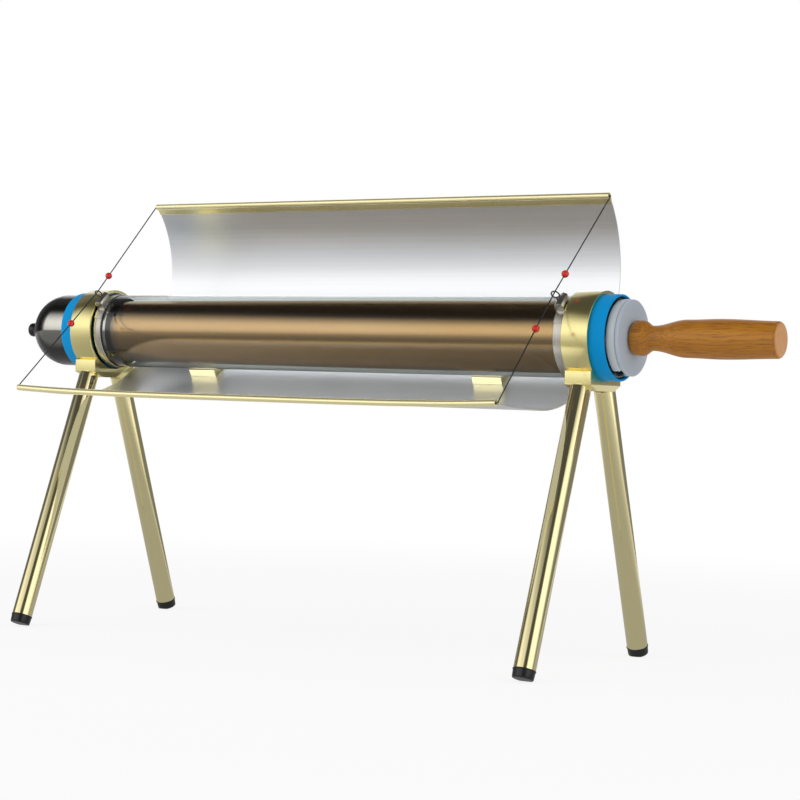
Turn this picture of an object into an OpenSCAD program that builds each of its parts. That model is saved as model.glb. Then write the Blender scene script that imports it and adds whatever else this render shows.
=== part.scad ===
// Solar grill: a vacuum glass cooking tube held in two clamps on splayed legs,
// with a mirror trough that turns about the tube and a tray that slides out of it.
// Lengths are in millimetres. X runs along the tube towards the handle, Y to the
// rear, Z up. The origin is on the floor, under the middle of the whole grill.

/* [Vacuum tube] */
// Outside diameter of the outer glass
glass_d = 70; // [64:1:80]
// Wall of the outer glass
glass_wall = 2; // [1.5:0.1:2.5]
// Length of the outer glass, from dome to mouth, without its nib
glass_len = 636.5; // [620:0.5:680]
// How far the mouth stands out past the middle of the right clamp
mouth_out = 24; // [20:0.5:25]
// Radial gap that holds the vacuum
vacuum_gap = 4; // [3.5:0.1:5]
// Wall of the coated inner glass
inner_wall = 1.6; // [1.2:0.1:2]
// Thickness of the fused glass ring at the mouth
rim_t = 3; // [2.5:0.1:4]
// Rounding of the fused glass ring
rim_round = 1.4; // [0.8:0.1:1.5]
// Diameter of the glass nib on the dome
nib_d = 8; // [6:0.5:9]
// Length of the glass nib past the dome
nib_len = 10; // [6:0.5:12]
// Diameter of the rubber cap over the nib
cap_d = 13.6; // [12:0.2:18]
// Rubber left in front of the nib
cap_end_t = 5; // [3:0.5:6]
// Width of the spring clip in the vacuum gap
clip_w = 8; // [6:0.5:12]
// Metal thickness of the spring clip
clip_t = 0.5; // [0.4:0.1:0.8]

/* [Clamps] */
// Distance between the middles of the two clamps
clamp_pitch = 532; // [500:1:540]
// Width of a clamp along the tube
clamp_w = 24.5; // [20:0.5:25]
// Wall of the clamp's ring
ring_wall = 3; // [2.5:0.1:4]
// Wall of the blue sleeve between clamp and glass
sleeve_wall = 2; // [1.5:0.1:3]
// How far the blue sleeve stands out of the clamp
sleeve_out = 14; // [4:0.5:16]
// How far inside the clamp's inner face the sleeve ends
sleeve_in = 3; // [1:0.5:5]
// Half width of the clamp's foot block
block_half = 30; // [27:0.5:34]
// How far the block's shoulder lies under the tube's axis
shoulder_drop = 29; // [26:0.5:30]
// How far the block's front lower edge lies under the tube's axis
seat_drop = 41; // [40:0.5:44]
// Width of each slanted seat for a leg, across the clamp
seat_w = 14; // [12:0.5:16]

/* [Legs] */
// Height of the tube's axis over the floor
axis_height = 282.5; // [250:0.5:320]
// Distance of a foot from the plane through the tube's axis
foot_reach = 114; // [100:1:125]
// Outside diameter of a leg
leg_d = 18.8; // [18:0.2:22]
// Wall of a leg
leg_wall = 1.5; // [1.2:0.1:2]
// Solid length at a leg's top end
leg_plug = 16; // [13:1:24]
// Diameter of the stud between leg and clamp
stud_d = 8; // [6:1:8]
// Depth of the stud in the leg
stud_in_leg = 11; // [9:1:12]
// Depth of the stud in the clamp's block
stud_in_block = 8; // [5:0.5:9]
// Length of a foot's plug inside the leg
foot_plug = 14; // [8:1:20]
// How far a foot's rim stands out past the leg
foot_rim = 0.4; // [0.2:0.1:0.8]
// Thickness of a foot's rim
foot_rim_t = 1.2; // [0.8:0.1:2]
// Length of a foot under the leg's end
foot_len = 8.2; // [6:0.1:12]
// How much narrower the foot's end is than the leg, on the radius
foot_narrow = 0.4; // [0.2:0.1:1.5]
// Rubber worn flat on the floor
foot_flat = 1; // [0.6:0.1:1.4]

/* [Mirror trough] */
// Thickness of the mirror sheet
sheet_t = 0.8; // [0.6:0.1:1.2]
// Gap between the trough's end and a clamp
end_gap = 3.75; // [3.5:0.25:8]
// How far in front of the tube's axis the trough's lowest line lies
low_front = 62; // [58:0.5:64]
// How far under the tube's axis the trough's lowest line lies
low_drop = 63; // [62:0.5:66]
// Radius of the nearly flat front part
front_r = 710; // [600:5:800]
// Reach of the front part past the lowest line
front_reach = 81.5; // [60:0.5:90]
// Radius of the part under the tube
under_r = 153.5; // [152.5:0.5:156]
// Turn of the part under the tube, in degrees
under_turn = 58.8; // [56:0.1:60]
// Radius of the part behind the tube
back_r = 95; // [88:0.5:105]
// Turn of the part behind the tube, in degrees
back_turn = 76; // [60:0.5:80]
// Outside diameter of the round bead on each long edge
bead_d = 5.6; // [5:0.1:7]
// Bore of the round bead
bead_bore = 3.4; // [3:0.1:3.6]
// Width of the trim's inner lip
lip_w = 9; // [6:0.5:12]
// Width of the trim's outer lip
back_lip_w = 6; // [5:0.5:10]
// Thickness of the trim's lips
lip_t = 0.9; // [0.7:0.1:1.2]

/* [Spacer blocks] */
// Distance between the middles of the two spacer blocks
spacer_pitch = 312; // [200:1:420]
// Length of a spacer block along the tube
spacer_len = 30; // [24:1:44]
// Width of a spacer block on the sheet
spacer_w = 17; // [14:0.5:18]
// Place of a spacer block on the sheet, in degrees from straight down
spacer_at = 33.2; // [30:0.1:35]
// Slope of a spacer block's top face, in degrees
spacer_slope = 12; // [8:0.5:16]
// Gap between a spacer block's top face and the glass
spacer_gap = 2.3; // [0.3:0.1:2.6]
// Distance between a spacer block's two screws
screw_pitch = 18; // [14:1:20]
// Diameter of a spacer block's screws
screw_d = 3; // [2.5:0.5:3]
// Thread length in the spacer block
screw_in = 4.5; // [3:0.5:5]

/* [Hose clamps] */
// Width of a steel band
band_w = 8; // [7:0.5:9]
// Thickness of a steel band
band_t = 0.8; // [0.6:0.1:1]
// Gap between a band and the clamp beside it
band_gap = 1.5; // [1.2:0.1:4]
// Direction of the worm housing from the tube's axis, in degrees from the rear
housing_at = 137; // [125:1:150]
// Length of the worm housing along the band
housing_len = 11; // [9:0.5:13]
// Height of the worm housing on its plate
housing_h = 7.6; // [7:0.1:9]
// Length of the housing's plate along the band, in degrees
plate_turn = 40; // [30:1:60]
// Diameter of the worm screw
worm_d = 5; // [4:0.1:5.2]
// Width over the flats of the worm screw's head
head_flats = 6.4; // [5.5:0.1:7]
// Length of the worm screw's head
head_len = 3.6; // [3:0.1:5]

/* [Cables] */
// Distance of the cable from the tube's axis where the hook holds it
cable_reach = 53; // [51:0.5:56]
// Thickness of the cable
cable_d = 1.2; // [1:0.1:1.4]
// Thickness of the hook's wire
wire_d = 1.3; // [1:0.1:1.6]
// Inside diameter of the hook's eye
eye_bore = 5.8; // [5:0.1:7]
// How far the eye lies inboard of the middle of its band
eye_inset = 2; // [0:0.5:2.5]
// How far the cable passes outside the bead's end
cable_out = 1.4; // [1.2:0.1:1.6]
// Length of cable inside the bead
cable_tail = 14; // [10:1:20]
// Diameter of a red bead
red_bead_d = 6.6; // [5:0.1:8]
// Distance of the rear red beads from the hook along the cable
rear_bead_at = 24; // [16:1:34]
// Distance of the front red beads from the hook along the cable
front_bead_at = 48; // [30:1:56]

/* [Stopper and handle] */
// Length of the stopper inside the tube
stopper_in = 22; // [16:1:30]
// Gap between the stopper's flange and the glass
flange_gap = 1.5; // [1:0.1:2]
// Thickness of the stopper's flange
flange_t = 8.3; // [6:0.1:10]
// Radius by which the flange is smaller than the glass
flange_in = 2.2; // [1.5:0.1:4]
// Rounding of the flange's edges
flange_round = 1.5; // [0.5:0.1:2.5]
// Thickness of the frosted disc in front of the flange
disc_t = 3.4; // [2.5:0.1:5]
// Radius by which the disc is smaller than the flange
disc_in = 0.2; // [0:0.1:2]
// Width of the steam notch in the flange, behind the disc
notch_w = 20; // [10:1:24]
// Depth of the steam notch from the flange's edge
notch_h = 5; // [3:0.5:5]
// Direction of the steam notch from straight down, in degrees
notch_at = 10; // [0:1:30]
// Radius of the handle's collar
collar_r = 15; // [13:0.1:17]
// Radius of the handle's neck
neck_r = 10.6; // [9:0.1:12]
// Radius of the handle where its belly begins
shoulder_r = 16; // [14:0.1:17]
// Radius of the handle's belly
belly_r = 16.8; // [15:0.1:18]
// Radius of the handle's end, before its rounding
end_r = 15.4; // [14:0.1:16]
// Length of the handle's collar
collar_len = 9; // [5:1:12]
// Length from the disc to the neck
neck_at = 18; // [15:1:24]
// Length from the disc to the beginning of the belly
shoulder_at = 49; // [40:1:60]
// Length from the disc to the belly
belly_at = 80; // [70:1:90]
// Length of the handle
handle_len = 131; // [115:1:150]
// Rounding at the handle's two ends
handle_round = 3.6; // [2:0.1:5]
// Diameter of the bolt through the stopper
bolt_d = 6; // [5:0.5:7]
// Length of the bolt in the handle
bolt_in_handle = 38; // [25:1:50]

/* [Cooking tray] */
// Length of the tray
tray_len = 556; // [500:1:570]
// Metal thickness of the tray
tray_t = 0.8; // [0.6:0.1:1.2]
// Thickness of the tray's end plate
plate_t = 1.2; // [1:0.1:2]
// Height of the end plate over the tube's axis
plate_rise = 12; // [9:1:16]
// Width of the folded tab under the end plate
tab_w = 12; // [10:1:16]
// Diameter of the tray's rivets
rivet_d = 3.2; // [2.5:0.1:4]
// Width over the flats of the bolt's nut
nut_flats = 10; // [9:0.5:12]
// Thickness of the bolt's nut
nut_t = 4; // [3:0.5:5]

/* [Clearances] */
// Gap between fixed pieces that fit into each other
fit_gap = 0.05; // [0.02:0.01:0.08]
// Running gap between a turning or sliding piece and its bearing
run_gap = 0.08; // [0.04:0.01:0.1]
// Gap between pieces that move past each other
free_gap = 0.3; // [0.2:0.05:0.5]

/* [Hidden] */
$fn = 96;
glass_r = glass_d / 2;
inner_r = glass_r - glass_wall - vacuum_gap;
bore_r = inner_r - inner_wall;
mouth_x = clamp_pitch / 2 + mouth_out;
dome_x = mouth_x - glass_len + glass_r;
straight_len = glass_len - glass_r;

sleeve_r = glass_r + fit_gap;
ring_bore_r = sleeve_r + sleeve_wall + fit_gap;
ring_r = ring_bore_r + ring_wall;

// The seats lie square to the legs, so the leg's slope sets the block's shape.
leg_d_half = leg_d / 2;
function seat_mid_y(slope) = block_half - cos(slope) * seat_w / 2;
function seat_mid_z(slope) = -seat_drop - sin(slope) * seat_w / 2;
function leg_slope(guess, steps) = steps == 0 ? guess
    : leg_slope(atan2(foot_reach - seat_mid_y(guess), axis_height + seat_mid_z(guess)), steps - 1);
splay = leg_slope(20, 6);
seat_y = seat_mid_y(splay);
seat_z = seat_mid_z(splay);
foot_end_r = leg_d_half - foot_narrow;
foot_lift = (foot_end_r * sin(splay) - foot_flat) / cos(splay);
leg_len = (axis_height + seat_z) / cos(splay) - foot_lift - foot_len;
foot_edge_y = foot_reach - foot_lift * sin(splay) + foot_end_r * cos(splay);

trough_len = clamp_pitch - clamp_w - 2 * end_gap;
front_c = [-low_front, front_r - low_drop];
under_c = [-low_front, under_r - low_drop];
back_c = under_c + (under_r - back_r) * [sin(under_turn), -cos(under_turn)];
front_turn = asin(front_reach / front_r);
front_from = -90 - front_turn;
back_to = -90 + under_turn + back_turn;
function on_arc(c, r, a) = c + r * [cos(a), sin(a)];
function turn_of(length, r) = length / r * 180 / PI;
front_rim = on_arc(front_c, front_r, front_from);
rear_rim = on_arc(back_c, back_r, back_to);

spacer_mid = -90 + spacer_at;
spacer_half = turn_of(spacer_w / 2, under_r);
spacer_h_max = 16;

band_r = glass_r + run_gap;
band_x = clamp_pitch / 2 - clamp_w / 2 - band_gap - band_w / 2;
plate_r = band_r + band_t + fit_gap;
housing_floor_r = plate_r + band_t;
worm_r = housing_floor_r + housing_h / 2;
housing_top_r = housing_floor_r + housing_h;
housing_w = band_w + 0.6;
worm_turn_dir = [0, sin(housing_at), -cos(housing_at)];

eye_mid_r = (eye_bore + wire_d) / 2;
eye_r = cable_reach - (eye_bore - cable_d) / 2;
hook_x = band_x - eye_inset;
hook_point = [hook_x, cable_reach * cos(housing_at), cable_reach * sin(housing_at)];
corner_x = trough_len / 2 + cable_out;
front_corner = [corner_x, front_rim[0], front_rim[1]];
rear_corner = [corner_x, rear_rim[0], rear_rim[1]];

flange_x = mouth_x + flange_gap;
disc_x = flange_x + flange_t;
handle_x = disc_x + disc_t;
flange_r = glass_r - flange_in;
disc_r = flange_r - disc_in;
stopper_end_x = flange_x - stopper_in;
tray_x = stopper_end_x - plate_t;
tray_r = bore_r - free_gap;
tab_inside_r = tray_r - tray_t - fit_gap - plate_t;
rivet_head_r = rivet_d * 0.85;
rivet_grip = tray_r - sqrt(pow(tab_inside_r, 2) - pow(rivet_head_r, 2)) + fit_gap;

tip_x = dome_x - glass_r - nib_len - cap_end_t;
end_x = handle_x + handle_len;
front_y = front_rim[0] - bead_d / 2;
origin_at = [-(tip_x + end_x) / 2, -(front_y + foot_edge_y) / 2, axis_height];

// Every piece is drawn about the tube's axis, then lifted onto the floor.
module lifted() {
    translate(origin_at) children();
}

// A profile drawn as radius and distance along X, turned about the tube's axis.
module turned() {
    rotate([0, 90, 0]) rotate_extrude() children();
}

// A profile drawn in Y and Z, run along X from one place for a length.
module run_x(from, length) {
    translate([from, 0, 0]) rotate([90, 0, 90]) linear_extrude(length) children();
}

// Part of a ring between two directions, in degrees, less than half a turn.
module ring_part(r_in, r_out, a, b) {
    intersection() {
        difference() {
            circle(r_out);
            circle(r_in);
        }
        polygon(concat([[0, 0]], [for (k = [0:4]) 2 * r_out * [cos(a + (b - a) * k / 4), sin(a + (b - a) * k / 4)]]));
    }
}

// Half section of a glass tube with a round dome.
module domed_half(r, length) {
    intersection() {
        circle(r);
        translate([0, -r]) square([r, r]);
    }
    square([r, length]);
}

module outer_glass() {
    color([0.75, 0.8, 0.82, 0.35]) lifted() translate([dome_x, 0, 0]) turned() difference() {
        union() {
            domed_half(glass_r, straight_len - rim_round);
            translate([0, -glass_r - nib_len]) square([nib_d / 2, nib_len + glass_wall]);
            translate([glass_r - rim_round, straight_len - rim_round]) circle(rim_round);
            square([glass_r - rim_round, straight_len]);
        }
        domed_half(glass_r - glass_wall, straight_len - rim_t);
        square([bore_r, straight_len + 1]);
    }
}

module inner_glass() {
    color([0.28, 0.2, 0.14]) lifted() translate([dome_x, 0, 0]) turned() difference() {
        domed_half(inner_r, straight_len - rim_t);
        domed_half(bore_r, straight_len - rim_t + 1);
    }
}

// The clip bears on the inner glass, and its three tongues on the outer glass.
module getter_clip() {
    tongue_r = glass_r - glass_wall - fit_gap;
    color("silver") lifted() translate([dome_x, 0, 0]) {
        turned() translate([inner_r + fit_gap, 0]) square([clip_t, clip_w]);
        for (k = [0:2]) rotate([k * 120, 0, 0]) intersection() {
            translate([0, -clip_w / 2, inner_r]) cube([clip_t * 2, clip_w, glass_r]);
            turned() translate([inner_r + fit_gap, 0]) square([tongue_r - inner_r - fit_gap, clip_t * 2]);
        }
    }
}

module tip_cap() {
    color([0.06, 0.06, 0.06]) lifted() translate([dome_x, 0, 0]) turned() difference() {
        union() {
            translate([0, -glass_r - nib_len - cap_end_t + 1.5])
                square([cap_d / 2, nib_len + cap_end_t]);
            translate([0, -glass_r - nib_len - cap_end_t]) square([cap_d / 2 - 1.5, nib_len]);
            translate([cap_d / 2 - 1.5, -glass_r - nib_len - cap_end_t + 1.5]) circle(1.5);
        }
        circle(glass_r + fit_gap);
        translate([0, -glass_r - nib_len - fit_gap]) square([nib_d / 2 + fit_gap, nib_len + 2]);
    }
}

// The clamp is one extruded bar: a ring on a block with two slanted seats.
module clamp_profile() {
    difference() {
        union() {
            circle(ring_r);
            polygon([
                [-block_half, -shoulder_drop],
                [-block_half, -seat_drop],
                [-block_half + seat_w * cos(splay), -seat_drop - seat_w * sin(splay)],
                [block_half - seat_w * cos(splay), -seat_drop - seat_w * sin(splay)],
                [block_half, -seat_drop],
                [block_half, -shoulder_drop]
            ]);
        }
        circle(ring_bore_r);
    }
}

module clamp(side) {
    color([0.82, 0.76, 0.52]) lifted() difference() {
        run_x(side * clamp_pitch / 2 - clamp_w / 2, clamp_w) clamp_profile();
        for (leg = [-1, 1]) on_seat(side, leg) cylinder(d = stud_d + 2 * fit_gap, h = 2 * stud_in_block, center = true);
    }
}

module left_clamp() { clamp(-1); }
module right_clamp() { clamp(1); }

module sleeve(side) {
    color([0, 0.49, 0.75]) lifted() translate([side * clamp_pitch / 2, 0, 0]) mirror([side < 0 ? 1 : 0, 0, 0])
        turned() translate([sleeve_r, sleeve_in - clamp_w / 2])
            square([sleeve_wall, clamp_w + sleeve_out - sleeve_in]);
}

module left_sleeve() { sleeve(-1); }
module right_sleeve() { sleeve(1); }

// Puts a piece on a leg's seat, with its own Z up along the leg.
module on_seat(side, leg) {
    translate([side * clamp_pitch / 2, leg * seat_y, seat_z]) rotate([leg * splay, 0, 0]) children();
}

module leg(side, row) {
    color([0.86, 0.82, 0.66]) lifted() on_seat(side, row) translate([0, 0, -leg_len]) difference() {
        cylinder(d = leg_d, h = leg_len);
        translate([0, 0, -1]) cylinder(d = leg_d - 2 * leg_wall, h = leg_len - leg_plug + 1);
        translate([0, 0, leg_len - stud_in_leg]) cylinder(d = stud_d + 2 * fit_gap, h = stud_in_leg + 1);
    }
}

module front_left_leg() { leg(-1, -1); }
module front_right_leg() { leg(1, -1); }
module rear_left_leg() { leg(-1, 1); }
module rear_right_leg() { leg(1, 1); }

module leg_studs() {
    color("silver") lifted() for (side = [-1, 1], row = [-1, 1]) on_seat(side, row)
        translate([0, 0, -stud_in_leg]) cylinder(d = stud_d, h = stud_in_leg + stud_in_block);
}

// A foot is a plug in the leg's end with a thin rim, cut flat where it stands.
module foot(side, row) {
    color([0.07, 0.07, 0.07]) lifted() intersection() {
        on_seat(side, row) translate([0, 0, -leg_len - fit_gap]) {
            cylinder(r = leg_d_half - leg_wall - fit_gap, h = foot_plug);
            translate([0, 0, -foot_rim_t]) cylinder(r = leg_d_half + foot_rim, h = foot_rim_t);
            translate([0, 0, fit_gap - foot_len])
                cylinder(r1 = foot_end_r, r2 = leg_d_half, h = foot_len - foot_rim_t);
        }
        translate([side * clamp_pitch / 2 - 50, -foot_reach - 50, -axis_height]) cube([100, 2 * foot_reach + 100, 60]);
    }
}

module front_left_foot() { foot(-1, -1); }
module front_right_foot() { foot(1, -1); }
module rear_left_foot() { foot(-1, 1); }
module rear_right_foot() { foot(1, 1); }

// The sheet's three arcs meet with one tangent, and end where the beads begin.
module sheet_profile() {
    translate(front_c)
        ring_part(front_r, front_r + sheet_t, front_from + turn_of(bead_d / 2 + fit_gap, front_r), -90);
    translate(under_c) ring_part(under_r, under_r + sheet_t, -90, -90 + under_turn);
    translate(back_c)
        ring_part(back_r, back_r + sheet_t, -90 + under_turn, back_to - turn_of(bead_d / 2 + fit_gap, back_r));
}

module reflector_sheet() {
    color([0.8, 0.81, 0.82]) lifted() difference() {
        run_x(-trough_len / 2, trough_len) sheet_profile();
        spacer_screw_bodies(fit_gap);
    }
}

// A trim holds the sheet's edge between two lips, beside its hollow bead.
module trim_profile(c, r, rim, a, inward) {
    difference() {
        union() {
            translate(rim) circle(d = bead_d);
            translate(c) {
                lip(r - fit_gap - lip_t, lip_t, a, inward * turn_of(lip_w, r));
                lip(r + sheet_t + fit_gap, lip_t, a, inward * turn_of(back_lip_w, r));
            }
        }
        translate(rim) circle(d = bead_bore);
    }
}

module lip(r, t, a, turn) {
    ring_part(r, r + t, min(a, a + turn), max(a, a + turn));
}

module front_trim() {
    color([0.86, 0.82, 0.6]) lifted() run_x(-trough_len / 2, trough_len)
        trim_profile(front_c, front_r, front_rim, front_from, 1);
}

module rear_trim() {
    color([0.86, 0.82, 0.6]) lifted() run_x(-trough_len / 2, trough_len)
        trim_profile(back_c, back_r, rear_rim, back_to, -1);
}

// A spacer's underside follows the sheet, and its flat top lies close under the glass.
module spacer_profile() {
    top = glass_r + spacer_gap;
    intersection() {
        translate(under_c) ring_part(under_r - spacer_h_max, under_r, spacer_mid - spacer_half, spacer_mid + spacer_half);
        rotate(spacer_slope) translate([-100, -top - 100]) square([200, 100]);
    }
}

module spacer(side) {
    color([0.93, 0.9, 0.74]) lifted() difference() {
        run_x(side * spacer_pitch / 2 - spacer_len / 2, spacer_len) spacer_profile();
        spacer_screw_bodies(fit_gap);
    }
}

module left_spacer() { spacer(-1); }
module right_spacer() { spacer(1); }

// The screws come up through the sheet, with their flat heads under it.
module spacer_screw_bodies(gap) {
    foot_at = on_arc(under_c, under_r, spacer_mid);
    for (side = [-1, 1], end = [-1, 1])
        translate([side * spacer_pitch / 2 + end * screw_pitch / 2, foot_at[0], foot_at[1]])
            rotate([spacer_at, 0, 0]) translate([0, 0, -sheet_t - gap - fit_gap])
                cylinder(d = screw_d + 2 * gap, h = screw_in + sheet_t + 2 * gap + fit_gap);
}

module spacer_screws() {
    foot_at = on_arc(under_c, under_r, spacer_mid);
    color("silver") lifted() {
        spacer_screw_bodies(0);
        for (side = [-1, 1], end = [-1, 1])
            translate([side * spacer_pitch / 2 + end * screw_pitch / 2, foot_at[0], foot_at[1]])
                rotate([spacer_at, 0, 0]) translate([0, 0, -sheet_t - fit_gap - screw_d / 2])
                    cylinder(d1 = screw_d * 1.4, d2 = screw_d * 1.9, h = screw_d / 2);
    }
}

module band(side) {
    color([0.75, 0.75, 0.76]) lifted() translate([side * band_x, 0, 0])
        turned() translate([band_r, -band_w / 2]) square([band_t, band_w]);
}

module left_band() { band(-1); }
module right_band() { band(1); }

// Puts a piece on a band's worm housing: Z away from the tube, Y along the screw.
module on_housing(side) {
    translate([side * band_x, 0, 0]) rotate([housing_at - 90, 0, 0]) children();
}

module housing(side) {
    color([0.6, 0.6, 0.61]) lifted() difference() {
        union() {
            run_x(side * band_x - band_w / 2, band_w)
                ring_part(plate_r, housing_floor_r, housing_at - plate_turn * 0.35, housing_at + plate_turn * 0.65);
            on_housing(side) translate([-housing_w / 2, -housing_len / 2, plate_r + band_t / 2])
                cube([housing_w, housing_len, housing_top_r - plate_r - band_t / 2]);
        }
        on_housing(side) translate([0, 0, worm_r]) rotate([90, 0, 0])
            cylinder(d = worm_d + 2 * run_gap, h = housing_len + 2, center = true);
        run_x(side * band_x - band_w, 2 * band_w) circle(plate_r);
    }
}

module left_housing() { housing(-1); }
module right_housing() { housing(1); }

// The worm screw has a slotted hexagon head at its upper end.
module screw(side) {
    color([0.7, 0.7, 0.72]) lifted() on_housing(side) translate([0, 0, worm_r]) rotate([90, 0, 0]) difference() {
        union() {
            translate([0, 0, -housing_len / 2 - free_gap - head_len / 2])
                cylinder(d = worm_d, h = housing_len + free_gap + head_len / 2);
            translate([0, 0, -housing_len / 2 - free_gap - head_len]) rotate(30)
                cylinder(d = head_flats / cos(30), h = head_len, $fn = 6);
        }
        translate([0, 0, -housing_len / 2 - head_len - 0.6]) cube([head_flats * 2, 1, 2.4], center = true);
    }
}

module left_screw() { screw(-1); }
module right_screw() { screw(1); }

// The hook is a wire eye on a short stem that stands on the housing.
module hook(side) {
    color([0.55, 0.55, 0.56]) lifted() on_housing(side) translate([-side * eye_inset, 0, 0]) {
        translate([0, 0, eye_r]) rotate([90, 0, 0]) rotate_extrude()
            translate([eye_mid_r, 0]) circle(d = wire_d, $fn = 32);
        translate([0, 0, housing_top_r]) cylinder(d = wire_d, h = eye_r - eye_mid_r - housing_top_r);
    }
}

module left_hook() { hook(-1); }
module right_hook() { hook(1); }

// A straight round bar between two points.
module rod(p, q, d) {
    v = q - p;
    translate(p) rotate([0, acos(v[2] / norm(v)), atan2(v[1], v[0])]) cylinder(d = d, h = norm(v), $fn = 32);
}

// One wire per end: out of the rear bead, through the hook's eye, into the front bead.
module cable(side) {
    color([0.4, 0.4, 0.42]) lifted() mirror([side < 0 ? 1 : 0, 0, 0]) {
        for (corner = [front_corner, rear_corner]) {
            rod(hook_point, corner, cable_d);
            rod(corner, corner - [cable_out + cable_tail, 0, 0], cable_d);
            translate(corner) sphere(d = cable_d * 1.1, $fn = 32);
        }
        translate(hook_point) sphere(d = cable_d * 1.1, $fn = 32);
    }
}

module left_cable() { cable(-1); }
module right_cable() { cable(1); }

function toward(p, q, distance) = p + (q - p) / norm(q - p) * distance;

module red_beads() {
    color([0.85, 0.05, 0.05]) lifted() for (side = [-1, 1]) mirror([side < 0 ? 1 : 0, 0, 0]) {
        for (bead = [[front_corner, front_bead_at], [rear_corner, rear_bead_at]]) difference() {
            translate(toward(hook_point, bead[0], bead[1])) sphere(d = red_bead_d);
            rod(hook_point, bead[0], cable_d + 2 * fit_gap);
        }
    }
}

// A crimped brass stop holds each cable end inside the hollow bead.
module cable_stops() {
    color([0.8, 0.65, 0.3]) lifted() for (side = [-1, 1]) mirror([side < 0 ? 1 : 0, 0, 0]) {
        for (corner = [front_corner, rear_corner]) difference() {
            translate(corner - [cable_out + cable_tail, 0, 0]) rotate([0, 90, 0])
                cylinder(d = bead_bore - 2 * fit_gap, h = cable_tail / 2);
            translate(corner - [cable_out + cable_tail + 1, 0, 0]) rotate([0, 90, 0])
                cylinder(d = cable_d + 2 * fit_gap, h = cable_tail);
        }
    }
}

module bolt_hole() {
    translate([0, -500]) square([bolt_d / 2 + fit_gap, 1000]);
}

// Half section of a disc with rounded edges.
module rounded_half(r, t, rounding) {
    square([r - rounding, t]);
    translate([0, rounding]) square([r, t - 2 * rounding]);
    for (side = [rounding, t - rounding]) translate([r - rounding, side]) circle(rounding);
}

// The stopper is a soft plug with a flange that stays outside the glass.
// A notch in the flange lets steam out.
module stopper() {
    color([0.85, 0.87, 0.9, 0.8]) lifted() translate([flange_x, 0, 0]) difference() {
        turned() difference() {
            union() {
                translate([0, -stopper_in]) square([bore_r - run_gap, stopper_in + 1]);
                rounded_half(flange_r, flange_t, flange_round);
            }
            bolt_hole();
        }
        rotate([-notch_at, 0, 0]) translate([-1, -notch_w / 2, -flange_r - 1])
            cube([flange_t + 2, notch_w, notch_h + 1]);
    }
}

module stopper_disc() {
    color([0.78, 0.82, 0.88, 0.8]) lifted() translate([disc_x, 0, 0]) turned() difference() {
        rounded_half(disc_r, disc_t, disc_t * 0.35);
        bolt_hole();
    }
}

// Radius of the turned handle at a distance from the disc.
function ease(a, b, t) = a + (b - a) * (1 - cos(180 * t)) / 2;
function handle_radius(x) = x < collar_len ? collar_r
    : x < neck_at ? ease(collar_r, neck_r, (x - collar_len) / (neck_at - collar_len))
    : x < shoulder_at ? ease(neck_r, shoulder_r, (x - neck_at) / (shoulder_at - neck_at))
    : x < belly_at ? ease(shoulder_r, belly_r, (x - shoulder_at) / (belly_at - shoulder_at))
    : ease(belly_r, end_r, (x - belly_at) / (handle_len - belly_at));
// How much a rounded end takes off the radius, at a distance from that end.
function round_off(x) = x >= handle_round ? 0 : handle_round - sqrt(pow(handle_round, 2) - pow(handle_round - x, 2));
handle_steps = [
    for (x = [0, 0.3, 0.9, 1.8, 2.7]) x * handle_round / 3.6,
    for (k = [1:44]) handle_round + (handle_len - 2 * handle_round) * k / 44,
    for (x = [2.7, 1.8, 0.9, 0.3, 0]) handle_len - x * handle_round / 3.6
];

module handle() {
    color([0.72, 0.43, 0.16]) lifted() translate([handle_x, 0, 0]) turned() difference() {
        polygon(concat([[0, 0]],
            [for (x = handle_steps) [handle_radius(x) - round_off(x) - round_off(handle_len - x), x]],
            [[0, handle_len]]));
        translate([0, -1]) square([bolt_d / 2 + fit_gap, bolt_in_handle + 1]);
    }
}

bolt_tail = plate_t + nut_t + 2;

module handle_bolt() {
    color("silver") lifted() translate([stopper_end_x - bolt_tail, 0, 0]) rotate([0, 90, 0])
        cylinder(d = bolt_d, h = handle_x - stopper_end_x + bolt_tail + bolt_in_handle);
}

module bolt_nut() {
    color("silver") lifted() translate([tray_x - nut_t, 0, 0]) rotate([0, 90, 0]) difference() {
        cylinder(d = nut_flats / cos(30), h = nut_t, $fn = 6);
        translate([0, 0, -1]) cylinder(d = bolt_d + 2 * fit_gap, h = nut_t + 2);
    }
}

// The tray is a half pipe, closed by a small turned-up wall at its far end.
module tray_section(r) {
    intersection() {
        circle(r);
        translate([-r, -r]) square([2 * r, r]);
    }
}

module cooking_tray() {
    color([0.72, 0.73, 0.74]) lifted() difference() {
        run_x(tray_x - tray_len, tray_len) tray_section(tray_r);
        run_x(tray_x - tray_len + tray_t, tray_len) tray_section(tray_r - tray_t);
        rivet_bodies(fit_gap);
    }
}

// The end plate stands against the stopper, with a tab under the tray's floor.
module tray_plate() {
    inside_r = tray_r - tray_t - fit_gap;
    color([0.68, 0.69, 0.7]) lifted() difference() {
        union() {
            run_x(tray_x, plate_t) intersection() {
                circle(tray_r);
                translate([-tray_r, -tray_r]) square([2 * tray_r, tray_r + plate_rise]);
            }
            run_x(tray_x - tab_w, tab_w) ring_part(inside_r - plate_t, inside_r, -130, -50);
        }
        translate([tray_x - 1, 0, 0]) rotate([0, 90, 0]) cylinder(d = bolt_d + 2 * fit_gap, h = plate_t + 2);
        rivet_bodies(fit_gap);
    }
}

// Two rivets join the tab and the tray's floor, one each side of the middle.
module rivet_bodies(gap) {
    for (side = [-1, 1]) translate([tray_x - tab_w / 2, 0, 0]) rotate([side * 20, 0, 0])
        translate([0, 0, -tray_r - gap]) cylinder(d = rivet_d + 2 * gap, h = tray_t + plate_t + fit_gap + 2 * gap);
}

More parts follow.
